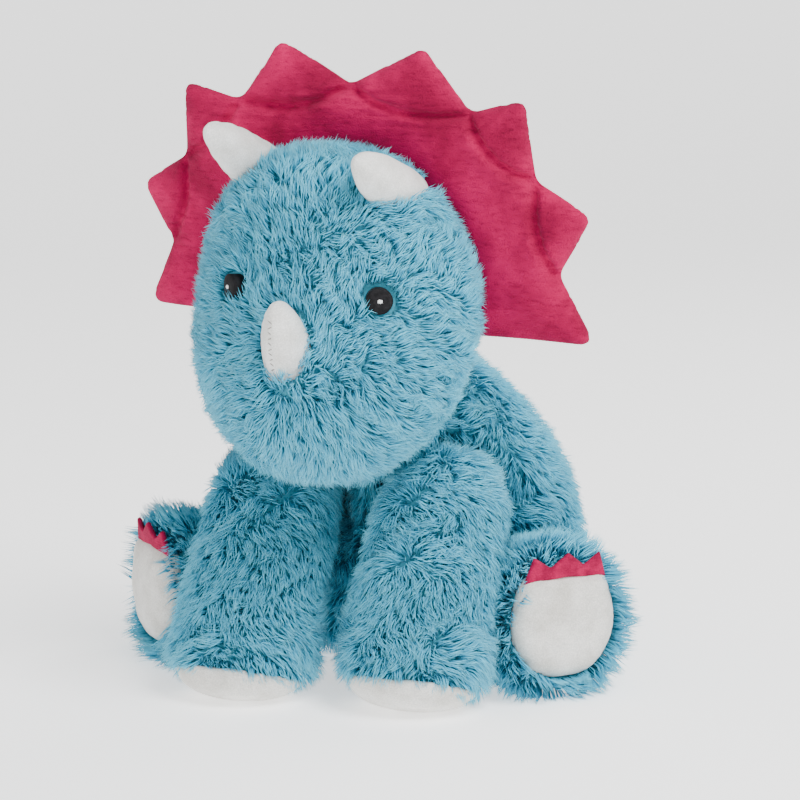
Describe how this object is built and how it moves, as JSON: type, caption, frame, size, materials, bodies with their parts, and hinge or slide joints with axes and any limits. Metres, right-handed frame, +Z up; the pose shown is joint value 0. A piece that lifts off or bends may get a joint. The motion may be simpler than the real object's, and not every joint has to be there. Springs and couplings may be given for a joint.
{
  "type": "stuffed dinosaur",
  "caption": "Sitting stuffed horned dinosaur in long blue fur, with a pointed plush frill, velour horns and soles, felt claws and a grain pouch in its belly.",
  "frame": {"origin": "on the floor under the middle of the toy's bounding box", "axes": "+Z up, -Y the way the toy faces, +X the toy's own left"},
  "size_m": [0.254, 0.2722, 0.3171],
  "materials": {
    "fur": "long combed pile",
    "frill": "short plush",
    "claw": "felt",
    "velour": "short velour",
    "eye": "satin stitch",
    "thread": "satin stitch",
    "stuffing": "loose fibre",
    "calico": "plain weave",
    "grain": "loose grain"
  },
  "bodies": {
    "torso": {"back_panel_left": "fur", "back_panel_right": "fur", "belly_panel": "fur", "seat_panel": "fur", "torso_stuffing": "stuffing", "grain_pouch_front": "calico", "grain_pouch_back": "calico", "grain_fill": "grain"},
    "neck": {"neck_stuffing": "stuffing"},
    "head": {"face_panel_left": "fur", "face_panel_right": "fur", "head_back_panel": "fur", "head_stuffing": "stuffing", "eye_left": "eye", "eye_right": "eye", "eye_highlight_left": "thread", "eye_highlight_right": "thread", "brow_horn_left_cover": "velour", "brow_horn_left_stuffing": "stuffing", "brow_horn_right_cover": "velour", "brow_horn_right_stuffing": "stuffing", "nose_horn_cover": "velour", "nose_horn_stuffing": "stuffing"},
    "frill": {"frill_front_sheet": "frill", "frill_back_sheet": "frill", "frill_wadding": "stuffing"},
    "front_leg_left": {"front_leg_left_outer_cover": "fur", "front_leg_left_inner_cover": "fur", "front_leg_left_sole": "velour", "front_leg_left_stuffing": "stuffing"},
    "front_leg_right": {"front_leg_right_outer_cover": "fur", "front_leg_right_inner_cover": "fur", "front_leg_right_sole": "velour", "front_leg_right_stuffing": "stuffing"},
    "hind_leg_left": {"hind_leg_left_upper_cover": "fur", "hind_leg_left_lower_cover": "fur", "hind_leg_left_sole": "velour", "hind_leg_left_claws": "claw", "hind_leg_left_stuffing": "stuffing"},
    "hind_leg_right": {"hind_leg_right_upper_cover": "fur", "hind_leg_right_lower_cover": "fur", "hind_leg_right_sole": "velour", "hind_leg_right_claws": "claw", "hind_leg_right_stuffing": "stuffing"},
    "tail": {"tail_cover_left": "fur", "tail_cover_right": "fur", "tail_stuffing": "stuffing"}
  },
  "joints": [
    {"name": "neck_turn", "type": "hinge", "parent": "torso", "child": "neck", "pos_m": [0.0005, -0.0295, 0.14], "axis": [0, -0.766, 0.6428], "range_deg": [-15, 15], "stiffness_Nm_per_rad": 6},
    {"name": "neck_nod", "type": "hinge", "parent": "neck", "child": "head", "pos_m": [0.0005, -0.0295, 0.14], "axis": [1, 0, 0], "range_deg": [-8, 8], "stiffness_Nm_per_rad": 8},
    {"name": "frill_fold", "type": "hinge", "parent": "head", "child": "frill", "pos_m": [0.0038, -0.04159, 0.188], "axis": [-0.9956, 0.0871, 0.0349], "range_deg": [0, 12], "stiffness_Nm_per_rad": 1.5},
    {"name": "front_leg_left_swing", "type": "hinge", "parent": "torso", "child": "front_leg_left", "pos_m": [0.0455, -0.0375, 0.09], "axis": [-1, 0, 0], "range_deg": [0, 25], "stiffness_Nm_per_rad": 3},
    {"name": "front_leg_right_swing", "type": "hinge", "parent": "torso", "child": "front_leg_right", "pos_m": [-0.0445, -0.0375, 0.09], "axis": [-1, 0, 0], "range_deg": [0, 25], "stiffness_Nm_per_rad": 3},
    {"name": "hind_leg_left_spread", "type": "hinge", "parent": "torso", "child": "hind_leg_left", "pos_m": [0.0695, -0.0015, 0.036], "axis": [0, 0, 1], "range_deg": [0, 15], "stiffness_Nm_per_rad": 3},
    {"name": "hind_leg_right_spread", "type": "hinge", "parent": "torso", "child": "hind_leg_right", "pos_m": [-0.0695, -0.0095, 0.036], "axis": [0, 0, -1], "range_deg": [0, 15], "stiffness_Nm_per_rad": 3},
    {"name": "tail_wag", "type": "hinge", "parent": "torso", "child": "tail", "pos_m": [0.0005, 0.0965, 0.042], "axis": [0, 0, 1], "range_deg": [-15, 15], "stiffness_Nm_per_rad": 0.5}
  ]
}
